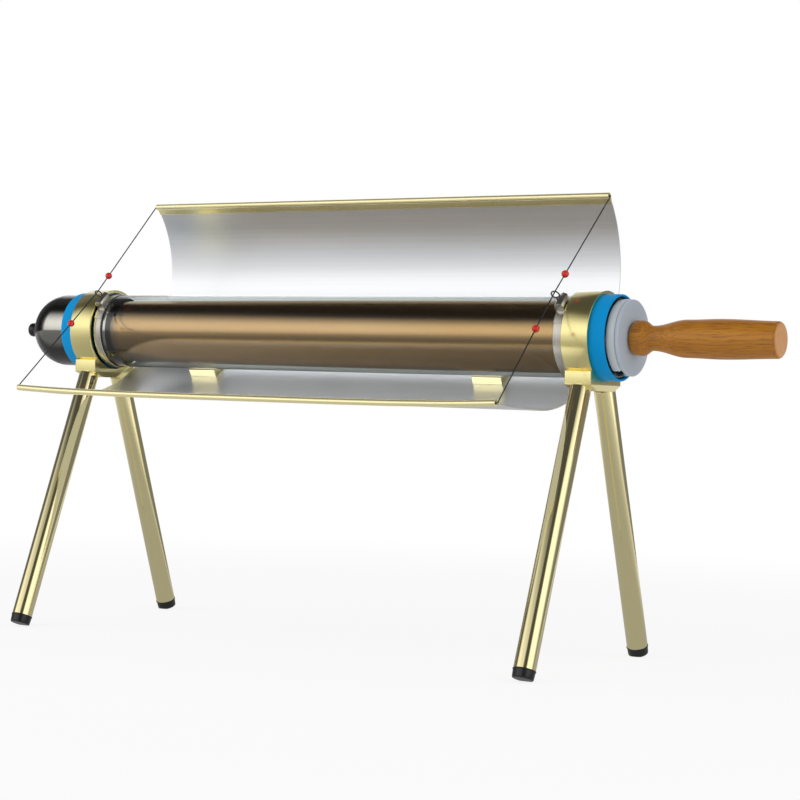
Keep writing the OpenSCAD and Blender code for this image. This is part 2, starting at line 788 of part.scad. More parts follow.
module tray_rivets() {
    color("silver") lifted() for (side = [-1, 1]) translate([tray_x - tab_w / 2, 0, 0]) rotate([side * 20, 0, 0]) {
        translate([0, 0, -tray_r]) cylinder(d = rivet_d, h = rivet_grip);
        translate([0, 0, -tray_r + rivet_grip]) cylinder(r1 = rivet_head_r, r2 = rivet_d / 2, h = 0.9);
    }
}

outer_glass();
inner_glass();
getter_clip();
tip_cap();
left_clamp();
right_clamp();
left_sleeve();
right_sleeve();
front_left_leg();
front_right_leg();
rear_left_leg();
rear_right_leg();
leg_studs();
front_left_foot();
front_right_foot();
rear_left_foot();
rear_right_foot();
reflector_sheet();
front_trim();
rear_trim();
left_spacer();
right_spacer();
spacer_screws();
left_band();
right_band();
left_housing();
right_housing();
left_screw();
right_screw();
left_hook();
right_hook();
left_cable();
right_cable();
red_beads();
cable_stops();
stopper();
stopper_disc();
handle();
handle_bolt();
bolt_nut();
cooking_tray();
tray_plate();
tray_rivets();
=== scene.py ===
import math
import random

import bmesh
import bpy
from mathutils import Matrix, Vector, noise


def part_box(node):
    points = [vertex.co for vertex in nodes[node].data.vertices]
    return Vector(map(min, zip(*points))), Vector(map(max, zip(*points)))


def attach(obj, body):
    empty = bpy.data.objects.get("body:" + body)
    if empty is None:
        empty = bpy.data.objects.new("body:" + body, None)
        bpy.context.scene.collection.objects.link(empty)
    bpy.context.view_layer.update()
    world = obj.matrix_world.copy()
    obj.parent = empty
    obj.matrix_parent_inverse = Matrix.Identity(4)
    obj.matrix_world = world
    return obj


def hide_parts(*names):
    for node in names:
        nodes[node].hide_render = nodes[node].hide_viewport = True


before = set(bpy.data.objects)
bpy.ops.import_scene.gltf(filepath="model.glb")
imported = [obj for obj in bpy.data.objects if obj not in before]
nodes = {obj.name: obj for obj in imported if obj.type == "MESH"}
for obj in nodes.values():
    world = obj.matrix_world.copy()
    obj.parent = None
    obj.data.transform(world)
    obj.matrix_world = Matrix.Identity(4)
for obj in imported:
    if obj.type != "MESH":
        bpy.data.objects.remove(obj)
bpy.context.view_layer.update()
scene = bpy.context.scene

# The camera stands to the right of the front, level with the trough's front rim, with a long
# lens, and is rolled a little, as in the photograph. Angles are in degrees. Its place is
# measured from the middle of the tube's axis, halfway between the two clamps.
clamp_low, clamp_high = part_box("left_clamp")[0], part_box("right_clamp")[1]
glass_low, glass_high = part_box("outer_glass")
tube_middle = Vector(((clamp_low.x + clamp_high.x) / 2, (glass_low.y + glass_high.y) / 2, (glass_low.z + glass_high.z) / 2))
camera_place = tube_middle + Vector((1.0121, -1.56705, -0.05557))
camera_turn, camera_dip, camera_roll = (math.radians(a) for a in (30.88, 0.1, 1.83))
photo_px, focal_px, sensor_mm = 800, 2024.5, 36.0
ahead = Vector((-math.sin(camera_turn) * math.cos(camera_dip),
                math.cos(camera_turn) * math.cos(camera_dip), -math.sin(camera_dip)))
level = Vector((math.cos(camera_turn), math.sin(camera_turn), 0))
rise = level.cross(ahead)
right = math.cos(camera_roll) * level + math.sin(camera_roll) * rise
up = math.cos(camera_roll) * rise - math.sin(camera_roll) * level
camera = bpy.data.objects.new("camera", bpy.data.cameras.new("camera"))
camera.data.sensor_width = sensor_mm
camera.data.lens = focal_px / photo_px * sensor_mm
camera.data.clip_end = 50
camera.matrix_world = Matrix.Translation(camera_place) @ Matrix((right, up, -ahead)).transposed().to_4x4()
scene.collection.objects.link(camera)
scene.camera = camera
scene.view_settings.view_transform = "Standard"


# The studio: a white backdrop that only the camera, glass and gloss see, a soft fill, and for
# gloss a dim room with a panel at the front left, one at the right, grey walls and the backdrop.
# The absorber and the film behind glass see less of it. Colours are written in sRGB, and are
# made linear.
def linear(code):
    """An sRGB hex colour as the linear colour that shaders take."""
    parts = [int(code[i:i + 2], 16) / 255 for i in (1, 3, 5)]
    return (*(c / 12.92 if c <= 0.04045 else ((c + 0.055) / 1.055) ** 2.4 for c in parts), 1)


def add(tree, kind, inputs={}, **settings):
    """Adds a node: its settings first, then each input as a number, a colour or a link."""
    node = tree.nodes.new("ShaderNode" + kind)
    for name, value in settings.items():
        setattr(node, name, value)
    for name, value in inputs.items():
        if isinstance(value, bpy.types.NodeSocket):
            tree.links.new(value, node.inputs[name])
        else:
            node.inputs[name].default_value = value
    return node


def window(tree, value, a, b, c, d):
    """1 where an angle lies between b and c, falling softly to 0 at a and d, in degrees."""
    a, b, c, d = (math.radians(v) for v in (a, b, c, d))
    on = add(tree, "MapRange", {"Value": value, "From Min": a, "From Max": b}, interpolation_type="SMOOTHSTEP")
    off = add(tree, "MapRange", {"Value": value, "From Min": c, "From Max": d, "To Min": 1.0, "To Max": 0.0},
              interpolation_type="SMOOTHSTEP")
    return add(tree, "Math", {0: on.outputs[0], 1: off.outputs[0]}, operation="MULTIPLY").outputs[0]


def panel(tree, turn, height, turns, heights, level, least):
    """A soft-edged panel in the room, added to what is there where it is brighter."""
    spread = add(tree, "Math", {0: window(tree, turn, *turns), 1: window(tree, height, *heights)}, operation="MULTIPLY")
    bright = add(tree, "Math", {0: spread.outputs[0], 1: level}, operation="MULTIPLY").outputs[0]
    return add(tree, "Math", {0: bright, 1: least}, operation="MAXIMUM").outputs[0]


fill_light, backdrop_white, twice_gain = 0.5, 1.0, 1.8
scene.world = bpy.data.worlds.new("studio")
scene.world.use_nodes = True
sky = scene.world.node_tree
sky.nodes.clear()
ray = add(sky, "LightPath").outputs
direction = add(sky, "TexCoord").outputs["Generated"]
axes = add(sky, "SeparateXYZ", {"Vector": direction}).outputs
height = add(sky, "Math", {0: axes[2]}, operation="ARCSINE").outputs[0]
forward = add(sky, "Math", {0: axes[1], 1: -1.0}, operation="MULTIPLY").outputs[0]
turn = add(sky, "Math", {0: axes[0], 1: forward}, operation="ARCTAN2").outputs[0]
room = panel(sky, turn, height, (-180, -179, -100, -65), (-40, -10, 40, 75), 0.2, 0.09)
room = panel(sky, turn, height, (80, 110, 179, 180), (-40, -10, 40, 75), 0.25, room)
room = panel(sky, turn, height, (-80, -52, 0, 20), (-22, 12, 18, 58), 1.5, room)
room = panel(sky, turn, height, (42, 58, 92, 125), (-22, 2, 36, 66), 1.6, room)
room = panel(sky, turn, height, (-178, -166, -134, -118), (-30, -10, 34, 60), 1.0, room)
twice = add(sky, "Math", {0: ray["Glossy Depth"], 1: 1.5}, operation="GREATER_THAN").outputs[0]
gain = add(sky, "Mix", {0: twice, 2: 1.0, 3: twice_gain}).outputs[0]
room = add(sky, "Math", {0: room, 1: gain}, operation="MULTIPLY").outputs[0]
glazed = panel(sky, turn, height, (-80, -52, 0, 20), (-22, 14, 18, 58), 1.5, 0.02)
glazed = panel(sky, turn, height, (-178, -166, -134, -118), (-30, -10, 34, 60), 1.0, glazed)
filmed = panel(sky, turn, height, (-70, -54, 0, 20), (-22, 14, 18, 50), 1.5, 0.004)
in_glass = add(sky, "Math", {0: ray["Transmission Depth"], 1: 0.5}, operation="GREATER_THAN").outputs[0]
on_absorber = add(sky, "Math", {0: ray["Transmission Depth"], 1: 2.5}, operation="GREATER_THAN").outputs[0]
glazed = add(sky, "Mix", {0: on_absorber, 2: filmed, 3: glazed}).outputs[0]
room = add(sky, "Mix", {0: in_glass, 2: room, 3: glazed}).outputs[0]
bounced = add(sky, "Math", {0: ray["Glossy Depth"], 1: ray["Diffuse Depth"]}, operation="ADD")
straight = add(sky, "Math", {0: bounced.outputs[0], 1: 0.5}, operation="LESS_THAN")
through = add(sky, "Math", {0: ray["Is Transmission Ray"], 1: straight.outputs[0]}, operation="MULTIPLY")
seen = add(sky, "Math", {0: ray["Is Camera Ray"], 1: through.outputs[0]}, operation="MAXIMUM")
glossy = add(sky, "Math", {0: ray["Glossy Depth"], 1: 0.5}, operation="GREATER_THAN")
soft = add(sky, "Mix", {0: glossy.outputs[0], 2: fill_light, 3: room})
whole = add(sky, "Mix", {0: seen.outputs[0], 2: soft.outputs[0], 3: backdrop_white})
shine = add(sky, "Background", {"Color": (1, 1, 1, 1), "Strength": whole.outputs[0]})
add(sky, "OutputWorld", {"Surface": shine.outputs[0]})


# Two large soft boxes, one at the front left and one at the right, where the panels are.
# They light what isn't metal and cast the shadow, and gloss shows the panels in their place.
def soft_box(name, place, target, width, height, brightness):
    """A lamp that a mirror would show as an even panel of that brightness."""
    lamp = bpy.data.objects.new(name, bpy.data.lights.new(name, "AREA"))
    lamp.data.shape = "RECTANGLE"
    lamp.data.size, lamp.data.size_y = width, height
    lamp.data.energy = brightness * math.pi * width * height
    lamp.visible_camera = lamp.visible_glossy = lamp.visible_transmission = False
    turn = (Vector(target) - Vector(place)).to_track_quat("-Z", "Y").to_matrix().to_4x4()
    lamp.matrix_world = Matrix.Translation(place) @ turn
    scene.collection.objects.link(lamp)


soft_box("soft_box_front", (-1.35, -1.5, 1.25), (0, 0, 0.45), 2.9, 2.3, 1.15)
soft_box("soft_box_right", (2.0, 0.1, 1.2), (0.2, 0, 0.3), 1.9, 2.0, 1.0)


# The floor: white paper under the feet. It keeps the grill's soft shadow near the feet, and
# runs out into plain white, so that no horizon shows. In gloss it is painted grey instead,
# darker near the grill and lighter far off, a painted shade under the grill; behind glass
# that painted shade is darker still.
def new_finish(name):
    """An empty material and its node tree."""
    material = bpy.data.materials.new(name)
    material.use_nodes = True
    material.node_tree.nodes.clear()
    return material, material.node_tree


floor_half, plain_from, plain_to, floor_white = 9.0, 0.55, 1.5, 0.86
gloss_from, gloss_to, floor_grey, floor_far, glass_near, glass_far = 0.5, 2.5, 0.48, 0.9, 0.1, 2.4
film_from, film_to, film_dark, film_light = -0.12, -0.3, 0.01, 0.2
paper, tree = new_finish("white_paper")
ray = add(tree, "LightPath").outputs
place = add(tree, "TexCoord").outputs["Object"]
away = add(tree, "VectorMath", {0: place}, operation="LENGTH").outputs["Value"]
plain = add(tree, "MapRange", {"Value": away, "From Min": plain_from, "From Max": plain_to, "To Min": floor_white, "To Max": 1.0},
            interpolation_type="SMOOTHSTEP").outputs[0]
glossy = add(tree, "Math", {0: ray["Glossy Depth"], 1: 0.5}, operation="GREATER_THAN").outputs[0]
in_glass = add(tree, "Math", {0: ray["Transmission Depth"], 1: 0.5}, operation="GREATER_THAN").outputs[0]
# Painted shade: in gloss the floor is a grey that is darker near the grill and lighter far off.
open_grey = add(tree, "MapRange", {"Value": away, "From Min": gloss_from, "From Max": gloss_to, "To Min": floor_grey, "To Max": floor_far}).outputs[0]
twice = add(tree, "Math", {0: ray["Glossy Depth"], 1: 1.5}, operation="GREATER_THAN").outputs[0]
open_grey = add(tree, "Mix", {0: twice, 2: open_grey, 3: floor_far}).outputs[0]
# Painted shade: seen from inside the glass it is darker still near the grill, and from the absorber darkest just in
# front of it.
past = add(tree, "Math", {0: away, 1: glass_near}, operation="SUBTRACT")
reach = add(tree, "Math", {0: away, 1: glass_far}, operation="ADD")
glass_grey = add(tree, "Math", {0: past.outputs[0], 1: reach.outputs[0]}, operation="DIVIDE").outputs[0]
across = add(tree, "SeparateXYZ", {"Vector": place}).outputs[1]
film_grey = add(tree, "MapRange", {"Value": across, "From Min": film_from, "From Max": film_to, "To Min": film_dark, "To Max": film_light}).outputs[0]
on_absorber = add(tree, "Math", {0: ray["Transmission Depth"], 1: 2.5}, operation="GREATER_THAN").outputs[0]
glass_grey = add(tree, "Mix", {0: on_absorber, 2: film_grey, 3: glass_grey}).outputs[0]
grey = add(tree, "Mix", {0: in_glass, 2: open_grey, 3: glass_grey}).outputs[0]
level = add(tree, "Mix", {0: glossy, 2: 1.0, 3: grey}).outputs[0]
part = add(tree, "Math", {0: plain, 1: glossy}, operation="MAXIMUM").outputs[0]
not_diffuse = add(tree, "Math", {0: 1.0, 1: ray["Is Diffuse Ray"]}, operation="SUBTRACT").outputs[0]
share = add(tree, "Math", {0: part, 1: not_diffuse}, operation="MULTIPLY").outputs[0]
lit = add(tree, "BsdfDiffuse", {"Color": linear("#F4F4F4")}).outputs[0]
white = add(tree, "Emission", {"Color": (1, 1, 1, 1), "Strength": level}).outputs[0]
both = add(tree, "MixShader", {0: share, 1: lit, 2: white}).outputs[0]
add(tree, "OutputMaterial", {"Surface": both})
floor_mesh = bpy.data.meshes.new("floor")
floor_mesh.from_pydata([(x * floor_half, y * floor_half, 0) for x, y in ((-1, -1), (1, -1), (1, 1), (-1, 1))], [], [(0, 1, 2, 3)])
floor_mesh.materials.append(paper)
floor = bpy.data.objects.new("floor", floor_mesh)
scene.collection.objects.link(floor)


# The outer wall of the vacuum tube: clear borosilicate glass, 70 mm across, drawn as a pipe,
# closed to a dome at the left and fused to the inner wall at the mouth. Near the dome its
# inside carries the getter, a dark film of barium that is flashed on to keep the vacuum.
# Every piece is drawn in millimetres about the tube's axis, midway between the two clamps.
TO_ROW = Matrix.Translation(tube_middle) @ Matrix.Scale(0.001, 4)
GLASS_R, BORE_R, INNER_R = 35.0, 27.4, 29.0
DOME_X, MOUTH_X = -311.5, 290.0


def arc(centre, radius, start, end, steps):
    """Points on an arc, from one angle to another, in degrees."""
    angles = [math.radians(start + (end - start) * i / steps) for i in range(steps + 1)]
    return [(centre[0] + radius * math.cos(a), centre[1] + radius * math.sin(a)) for a in angles]


def spun(profile, place=Matrix(), steps=96):
    """A closed section of (along, radius) points, turned on a lathe about its own X axis."""
    shape = bmesh.new()
    rings = []
    for along, radius in profile:
        count = steps if radius > 1e-5 else 1
        rings.append([shape.verts.new(place @ Vector((along, radius * math.sin(2 * math.pi * i / steps),
                                                      radius * math.cos(2 * math.pi * i / steps)))) for i in range(count)])
    for one, two in zip(rings, rings[1:] + rings[:1]):
        for i in range(steps):
            corners = [one[i % len(one)], two[i % len(two)], two[(i + 1) % len(two)], one[(i + 1) % len(one)]]
            corners = list(dict.fromkeys(corners))
            if len(corners) > 2:
                shape.faces.new(corners)
    return shape


def made(name, shape, finishes, crease=38):
    """The finished piece: smooth, with edges sharper than crease degrees kept."""
    bmesh.ops.recalc_face_normals(shape, faces=shape.faces)
    shape.transform(TO_ROW)
    mesh = bpy.data.meshes.new(name)
    shape.to_mesh(mesh)
    shape.free()
    mesh.shade_smooth()
    mesh.set_sharp_from_angle(angle=math.radians(crease))
    for finish in finishes:
        mesh.materials.append(finish)
    piece = bpy.data.objects.new(name, mesh)
    scene.collection.objects.link(piece)
    return piece


# Borosilicate glass, drawn: clear and hard, with a faint grey-green edge and, as drawing
# leaves, long shallow ripples some 40 mm apart. Lamps shine through it.
borosilicate, tree = new_finish("drawn_borosilicate_glass")
place = add(tree, "TexCoord").outputs["Object"]
along = add(tree, "Mapping", {"Vector": place, "Scale": (3, 25, 25)}).outputs[0]
ripple = add(tree, "TexNoise", {"Vector": along, "Scale": 1.0, "Detail": 1.0}).outputs[0]
bump = add(tree, "Bump", {"Strength": 0.02, "Distance": 0.001, "Height": ripple}).outputs[0]
clear = add(tree, "BsdfPrincipled", {"Base Color": linear("#F6FBFA"), "Roughness": 0.0, "IOR": 1.47,
                                     "Transmission Weight": 1.0, "Normal": bump}).outputs[0]
through = add(tree, "BsdfTransparent", {"Color": linear("#F2F7F6")}).outputs[0]
shadow = add(tree, "LightPath").outputs["Is Shadow Ray"]
add(tree, "OutputMaterial", {"Surface": add(tree, "MixShader", {0: shadow, 1: clear, 2: through}).outputs[0]})

# Barium getter film: a dark mirror, which shows the panel and is black elsewhere.
getter, tree = new_finish("flashed_barium_film")
place = add(tree, "TexCoord").outputs["Object"]
cloud = add(tree, "TexNoise", {"Vector": place, "Scale": 30.0, "Detail": 3.0}).outputs[0]
tone = add(tree, "Mix", {0: cloud, 6: linear("#B4AFA6"), 7: linear("#C6C0B7")}, data_type="RGBA").outputs[2]
film = add(tree, "BsdfPrincipled", {"Base Color": tone, "Metallic": 1.0, "Roughness": 0.07}).outputs[0]
add(tree, "OutputMaterial", {"Surface": film})

nib_r, nib_end, film_end = 4.0, -356.5, -240.0
outline = arc((nib_end + nib_r, 0), nib_r, 180, 90, 6)
outline += [(-347.8, 4.1), (-346.9, 4.7)]
outline += arc((DOME_X, 0), GLASS_R, 170, 90, 26)
outline += arc((MOUTH_X - 1.4, GLASS_R - 1.4), 1.4, 90, 0, 5)
outline += arc((MOUTH_X - 1.4, BORE_R + 1.4), 1.4, 0, -90, 5)
outline += [(MOUTH_X - 3, BORE_R), (MOUTH_X - 3, GLASS_R - 3), (MOUTH_X - 4, GLASS_R - 2), (film_end, GLASS_R - 2)]
outline += arc((DOME_X, 0), GLASS_R - 2, 90, 180, 26)
shape = spun(outline, steps=144)
for face in shape.faces:
    middle = face.calc_center_median()
    if middle.x < film_end and Vector((max(0, DOME_X - middle.x), middle.y, middle.z)).length < GLASS_R - 1:
        face.material_index = 1
outer_glass = made("outer_glass_drawn", shape, [borosilicate, getter], 60)
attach(outer_glass, "frame")
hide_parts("outer_glass")

# The inner wall of the vacuum tube: the same glass with a sputtered absorber on its outside,
# a bronze-black metal that drinks sunlight. It is open at the mouth, where the tray goes in.
absorber, tree = new_finish("sputtered_absorber")
place = add(tree, "TexCoord").outputs["Object"]
along = add(tree, "Mapping", {"Vector": place, "Scale": (2, 90, 90)}).outputs[0]
streak = add(tree, "TexNoise", {"Vector": along, "Scale": 1.0, "Detail": 3.0}).outputs[0]
bronze = add(tree, "Mix", {0: streak, 6: linear("#B28A56"), 7: linear("#BE9660")}, data_type="RGBA").outputs[2]
lengthwise = add(tree, "SeparateXYZ", {"Vector": place}).outputs[0]
coat_from = clamp_low.x + 0.036
coated = add(tree, "MapRange", {"Value": lengthwise, "From Min": coat_from, "From Max": coat_from + 0.018},
             interpolation_type="SMOOTHSTEP").outputs[0]
colour = add(tree, "Mix", {0: coated, 6: linear("#4A4744"), 7: bronze}, data_type="RGBA").outputs[2]
rough = add(tree, "MapRange", {"Value": streak, "To Min": 0.13, "To Max": 0.17}).outputs[0]
coat = add(tree, "BsdfPrincipled", {"Base Color": colour, "Metallic": 1.0, "Roughness": rough}).outputs[0]
add(tree, "OutputMaterial", {"Surface": coat})
outline = [(MOUTH_X - 3.05, BORE_R), (MOUTH_X - 3.05, INNER_R)] + arc((DOME_X, 0), INNER_R, 90, 180, 26)
outline += arc((DOME_X, 0), BORE_R, 180, 90, 26)
inner_glass = made("inner_glass_coated", spun(outline, steps=144), [absorber], 60)
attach(inner_glass, "frame")
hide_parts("inner_glass")

# The getter clip centres the inner glass in the dome. It is pressed from bright spring steel,
# which shows fine rolling lines.
def steel(name, tone, bright, rough, lines=(30, 900, 900)):
    """Rolled or drawn steel: fine lines along the way it was worked, so its gloss is broken."""
    material, tree = new_finish(name)
    place = add(tree, "TexCoord").outputs["Object"]
    along = add(tree, "Mapping", {"Vector": place, "Scale": lines}).outputs[0]
    line = add(tree, "TexNoise", {"Vector": along, "Scale": 1.0, "Detail": 4.0}).outputs[0]
    colour = add(tree, "Mix", {0: line, 6: linear(tone), 7: linear(bright)}, data_type="RGBA").outputs[2]
    gloss = add(tree, "MapRange", {"Value": line, "To Min": rough * 0.75, "To Max": rough * 1.25}).outputs[0]
    bump = add(tree, "Bump", {"Strength": 0.12, "Distance": 0.00005, "Height": line}).outputs[0]
    skin = add(tree, "BsdfPrincipled", {"Base Color": colour, "Metallic": 1.0, "Roughness": gloss, "Normal": bump})
    add(tree, "OutputMaterial", {"Surface": skin.outputs[0]})
    return material


def dress(node, finish):
    """Gives a CAD piece, whose shape is right as it is, its real finish."""
    nodes[node].data.materials.clear()
    nodes[node].data.materials.append(finish)


spring_steel = steel("rolled_spring_steel", "#A9AAAB", "#C2C3C4", 0.25)
dress("getter_clip", spring_steel)


# The cap over the nib: moulded black rubber, pushed on by hand, with a rolled end.
def rubber(name, colour, worn, rough, grain, shine=0.5):
    """Moulded rubber: an even, slightly dull skin with a fine grain, a little dusty."""
    material, tree = new_finish(name)
    place = add(tree, "TexCoord").outputs["Object"]
    dust = add(tree, "TexNoise", {"Vector": place, "Scale": 60.0, "Detail": 4.0}).outputs[0]
    tone = add(tree, "Mix", {0: dust, 6: linear(colour), 7: linear(worn)}, data_type="RGBA").outputs[2]
    fine = add(tree, "TexNoise", {"Vector": place, "Scale": grain, "Detail": 2.0}).outputs[0]
    gloss = add(tree, "MapRange", {"Value": dust, "To Min": rough * 0.85, "To Max": rough * 1.15}).outputs[0]
    bump = add(tree, "Bump", {"Strength": 0.15, "Distance": 0.0001, "Height": fine}).outputs[0]
    skin = add(tree, "BsdfPrincipled", {"Base Color": tone, "Roughness": gloss, "IOR": 1.5, "Specular IOR Level": shine,
                                        "Normal": bump})
    add(tree, "OutputMaterial", {"Surface": skin.outputs[0]})
    return material


cap_rubber = rubber("moulded_black_rubber", "#040405", "#0B0B0C", 0.22, 1500.0)
cap_r, cap_end, cap_seat = 6.8, -361.5, 35.1
seat_turn = math.degrees(math.asin(cap_r / cap_seat))
outline = [(cap_end, 0)] + arc((cap_end + 1.8, cap_r - 1.8), 1.8, 180, 90, 6)
outline += [(cap_end + 6.4, cap_r), (cap_end + 6.8, cap_r - 0.25), (cap_end + 7.2, cap_r)]
outline += arc((DOME_X, 0), cap_seat, 180 - seat_turn, 180 - math.degrees(math.asin(4.1 / cap_seat)), 4)
outline += [(nib_end - 0.1, 4.1), (nib_end - 0.1, 0)]
tip_cap = made("tip_cap_moulded", spun(outline, steps=64), [cap_rubber])
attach(tip_cap, "frame")
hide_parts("tip_cap")


# The two clamps: slices of one aluminium extrusion, a ring on a block with two slanted seats
# for the legs, anodised pale gold. The saw-cut ends are broken with a fine edge.
def anodised(name, deep, pale, rough, lines, lean=0.0, skin_gloss=2.2, metal=1.0):
    """Anodised aluminium: dyed metal under a clear hard skin, with die lines along its length."""
    material, tree = new_finish(name)
    place = add(tree, "TexCoord").outputs["Object"]
    along = add(tree, "Mapping", {"Vector": place, "Rotation": (lean, 0, 0), "Scale": lines}).outputs[0]
    line = add(tree, "TexNoise", {"Vector": along, "Scale": 1.0, "Detail": 5.0, "Roughness": 0.6}).outputs[0]
    colour = add(tree, "Mix", {0: line, 6: linear(deep), 7: linear(pale)}, data_type="RGBA").outputs[2]
    gloss = add(tree, "MapRange", {"Value": line, "To Min": rough * 0.8, "To Max": rough * 1.2}).outputs[0]
    bump = add(tree, "Bump", {"Strength": 0.1, "Distance": 0.00005, "Height": line}).outputs[0]
    skin = add(tree, "BsdfPrincipled", {"Base Color": colour, "Metallic": metal, "Roughness": gloss, "Normal": bump,
                                        "Coat Weight": 1.0, "Coat Roughness": 0.12, "Coat IOR": skin_gloss})
    add(tree, "OutputMaterial", {"Surface": skin.outputs[0]})
    return material


def eased(corners, steps=4):
    """An outline whose corners (x, y, radius) are rounded."""
    outline = []
    for i, (x, y, radius) in enumerate(corners):
        here = Vector((x, y))
        back = (Vector(corners[i - 1][:2]) - here).normalized()
        on = (Vector(corners[(i + 1) % len(corners)][:2]) - here).normalized()
        if radius == 0:
            outline.append((x, y))
            continue
        half = back.angle(on) / 2
        centre = here + (back + on).normalized() * radius / math.sin(half)
        start = here + back * radius / math.tan(half) - centre
        end = here + on * radius / math.tan(half) - centre
        turn = start.angle_signed(end)
        for k in range(steps + 1):
            a = -turn * k / steps
            outline.append((centre.x + start.x * math.cos(a) - start.y * math.sin(a),
                            centre.y + start.x * math.sin(a) + start.y * math.cos(a)))
    return outline


def bar(outlines, start, length, edge, place=Matrix()):
    """A bar with that section in (y, z), holes after the outside, run along X, its ends eased."""
    curve = bpy.data.curves.new("section", "CURVE")
    curve.dimensions, curve.fill_mode = "2D", "BOTH"
    curve.extrude, curve.bevel_depth, curve.bevel_resolution, curve.offset = length / 2 - edge, edge, 2, -edge
    for outline in outlines:
        spline = curve.splines.new("POLY")
        spline.points.add(len(outline) - 1)
        for point, (y, z) in zip(spline.points, outline):
            point.co = (y, z, 0, 1)
        spline.use_cyclic_u = True
    holder = bpy.data.objects.new("section", curve)
    scene.collection.objects.link(holder)
    mesh = bpy.data.meshes.new_from_object(holder.evaluated_get(bpy.context.evaluated_depsgraph_get()))
    bpy.data.objects.remove(holder)
    bpy.data.curves.remove(curve)
    shape = bmesh.new()
    shape.from_mesh(mesh)
    bpy.data.meshes.remove(mesh)
    bmesh.ops.remove_doubles(shape, verts=shape.verts, dist=0.002)
    to_x = Matrix(((0, 0, 1, start + length / 2), (1, 0, 0, 0), (0, 1, 0, 0), (0, 0, 0, 1)))
    shape.transform(place @ to_x)
    return shape


clamp_gold = anodised("gold_anodised_extrusion", "#D4C46E", "#DFD17C", 0.24, (12, 700, 700))
CLAMP_X, CLAMP_W, RING_R, SPLAY = 266.0, 24.5, 40.1, 20.7478
ring_bore, half, shoulder, seat_drop, seat_w = 37.1, 30.0, -29.0, -41.0, 14.0
seat_in, seat_low = half - seat_w * math.cos(math.radians(SPLAY)), seat_drop - seat_w * math.sin(math.radians(SPLAY))
neck = math.degrees(math.asin(-shoulder / RING_R))
section = arc((0, 0), RING_R, -neck, 180 + neck, 110)
section += eased([(-half, shoulder, 0.6), (-half, seat_drop, 0.6), (-seat_in, seat_low, 0.6),
                  (seat_in, seat_low, 0.6), (half, seat_drop, 0.6), (half, shoulder, 0.6)])
bore = arc((0, 0), ring_bore, 0, 357, 119)
for side, sign in (("left", -1), ("right", 1)):
    clamp = made(side + "_clamp_cut", bar([section, bore], sign * CLAMP_X - CLAMP_W / 2, CLAMP_W, 0.35), [clamp_gold])
    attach(clamp, "frame")
    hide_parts(side + "_clamp")

# The two sleeves between clamp and glass: moulded blue silicone rings, soft enough to grip,
# which stand out of the clamp on its outer side. The words printed on them are left off.
blue_silicone = rubber("moulded_blue_silicone", "#0092D6", "#009ADC", 0.5, 900.0, 0.12)
sleeve_in, sleeve_out, sleeve_low, sleeve_high = -9.25, 26.25, 35.06, 37.05
for side, sign in (("left", -1), ("right", 1)):
    out = eased([(sleeve_in, sleeve_low, 0.2), (sleeve_in, sleeve_high, 0.2), (sleeve_out, sleeve_high, 0.8), (sleeve_out, sleeve_low, 0.6)])
    place = Matrix.Translation((sign * CLAMP_X, 0, 0)) @ Matrix.Diagonal((sign, 1, 1, 1))
    sleeve = made(side + "_sleeve_moulded", spun(out, place, 128), [blue_silicone])
    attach(sleeve, "frame")
    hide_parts(side + "_sleeve")

# The four legs: drawn aluminium tube, 18.8 mm across, bright dipped and anodised champagne,
# plugged at the top, where a steel stud screws each one square to its seat.
LEG_LEN, LEG_R = 245.0558, 9.4
seat_y, seat_z = 23.454, -43.480
leg_finish = {
    sign: anodised(f"champagne_anodised_tube_{row}", "#D3C57A", "#DED08A", 0.12, (500, 500, 10), sign * math.radians(SPLAY), 2.6)
    for row, sign in (("front", 1), ("rear", -1))}
LEGS = [(row, side, r, s) for row, r in (("front", -1), ("rear", 1)) for side, s in (("left", -1), ("right", 1))]


def down_leg(row_sign, side_sign):
    """A leg's own place: its X axis runs down the leg from the middle of its seat."""
    seat = Matrix.Translation((side_sign * CLAMP_X, row_sign * seat_y, seat_z))
    return seat @ Matrix.Rotation(math.radians(row_sign * SPLAY), 4, "X") @ Matrix.Rotation(math.pi / 2, 4, "Y")


for row, side, r, s in LEGS:
    outline = [(11, 0), (11, 4.05), (0, 4.05), (0, LEG_R - 0.5), (0.15, LEG_R - 0.15), (0.5, LEG_R),
               (LEG_LEN, LEG_R), (LEG_LEN, LEG_R - 1.5), (16, LEG_R - 1.5), (16, 0)]
    leg = made(f"{row}_{side}_leg_drawn", spun(outline, down_leg(r, s), 72), [leg_finish[-r]])
    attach(leg, "frame")
    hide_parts(f"{row}_{side}_leg")

# The studs between legs and clamps, and the other small steel parts, are zinc plated.
zinc = steel("zinc_plated_steel", "#9DA0A3", "#B6B9BC", 0.3, (400, 400, 400))
dress("leg_studs", zinc)

